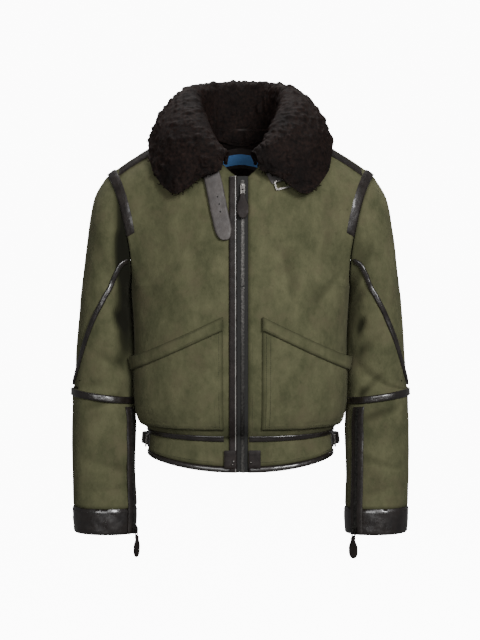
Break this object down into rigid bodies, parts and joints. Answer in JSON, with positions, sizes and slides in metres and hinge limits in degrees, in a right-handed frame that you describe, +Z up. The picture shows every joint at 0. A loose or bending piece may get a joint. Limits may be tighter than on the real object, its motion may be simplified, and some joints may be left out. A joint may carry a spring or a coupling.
{
  "type": "shearling coat",
  "caption": "Olive suede shearling coat with a curly dark fleece collar, dark leather tapes, slanted patch pockets and an open throat strap, standing filled out with no wearer.",
  "frame": {"origin": "between the wearer's shoulders, level with the tops of the sleeves", "axes": "+Z up, front faces -Y, +X to the wearer's left"},
  "size_m": [0.6597, 0.2941, 0.9273],
  "materials": {
    "suede": "napped olive suede, mottled",
    "fleece": "tight dark curls",
    "dark_leather": "semi-gloss grain",
    "strap_leather": "matt grain",
    "zip_cloth": "woven tape",
    "dark_metal": "blackened, worn bright on edges",
    "label_cloth": "woven, blank"
  },
  "bodies": {
    "coat": {"front_right": "suede", "front_left": "suede", "back": "suede", "band_front_right": "suede", "band_back": "suede", "band_front_left": "suede", "pocket_right": "suede", "pocket_left": "suede", "pocket_welt_right": "suede", "pocket_welt_left": "suede", "sleeve_upper_right": "suede", "sleeve_elbow_right": "suede", "sleeve_forearm_right": "suede", "sleeve_upper_left": "suede", "sleeve_elbow_left": "suede", "sleeve_forearm_left": "suede", "collar": "fleece", "waist_tape_front_right": "dark_leather", "waist_tape_back": "dark_leather", "waist_tape_front_left": "dark_leather", "hem_binding": "dark_leather", "placket": "dark_leather", "hem_patch_right": "dark_leather", "hem_patch_left": "dark_leather", "neck_facing": "dark_leather", "cuff_right": "dark_leather", "diagonal_tape_right": "dark_leather", "elbow_tape_right": "dark_leather", "armhole_tape_right": "dark_leather", "shoulder_tape_right": "dark_leather", "sleeve_zip_strip_right": "dark_leather", "side_strap_right": "dark_leather", "cuff_left": "dark_leather", "diagonal_tape_left": "dark_leather", "elbow_tape_left": "dark_leather", "armhole_tape_left": "dark_leather", "shoulder_tape_left": "dark_leather", "sleeve_zip_strip_left": "dark_leather", "side_strap_left": "dark_leather", "collar_strap": "strap_leather", "buckle_strap": "strap_leather", "zip_tape": "zip_cloth", "zip_teeth": "dark_metal", "zip_slider": "dark_metal", "collar_buckle": "dark_metal", "sleeve_zip_teeth_right": "dark_metal", "sleeve_zip_right_slider": "dark_metal", "side_buckle_right": "dark_metal", "sleeve_zip_teeth_left": "dark_metal", "sleeve_zip_left_slider": "dark_metal", "side_buckle_left": "dark_metal", "neck_label": "label_cloth"},
    "zip_pull": {"zip_puller": "dark_metal", "zip_pull_tab": "dark_leather"},
    "sleeve_zip_right_pull": {"sleeve_zip_right_puller": "dark_metal", "sleeve_zip_right_pull_tab": "dark_leather"},
    "sleeve_zip_left_pull": {"sleeve_zip_left_puller": "dark_metal", "sleeve_zip_left_pull_tab": "dark_leather"}
  },
  "joints": [
    {"name": "zip_pull_hinge", "type": "hinge", "parent": "coat", "child": "zip_pull", "pos_m": [0.004, -0.11797, -0.02901], "axis": [-1, 0, 0], "range_deg": [0, 140]},
    {"name": "sleeve_zip_right_pull_hinge", "type": "hinge", "parent": "coat", "child": "sleeve_zip_right_pull", "pos_m": [-0.20003, -0.0624, -0.68329], "axis": [-0.5216, -0.8519, 0.0476], "range_deg": [0, 140]},
    {"name": "sleeve_zip_left_pull_hinge", "type": "hinge", "parent": "coat", "child": "sleeve_zip_left_pull", "pos_m": [0.21581, -0.07951, -0.6829], "axis": [-0.804, 0.5938, -0.0329], "range_deg": [0, 140]}
  ]
}
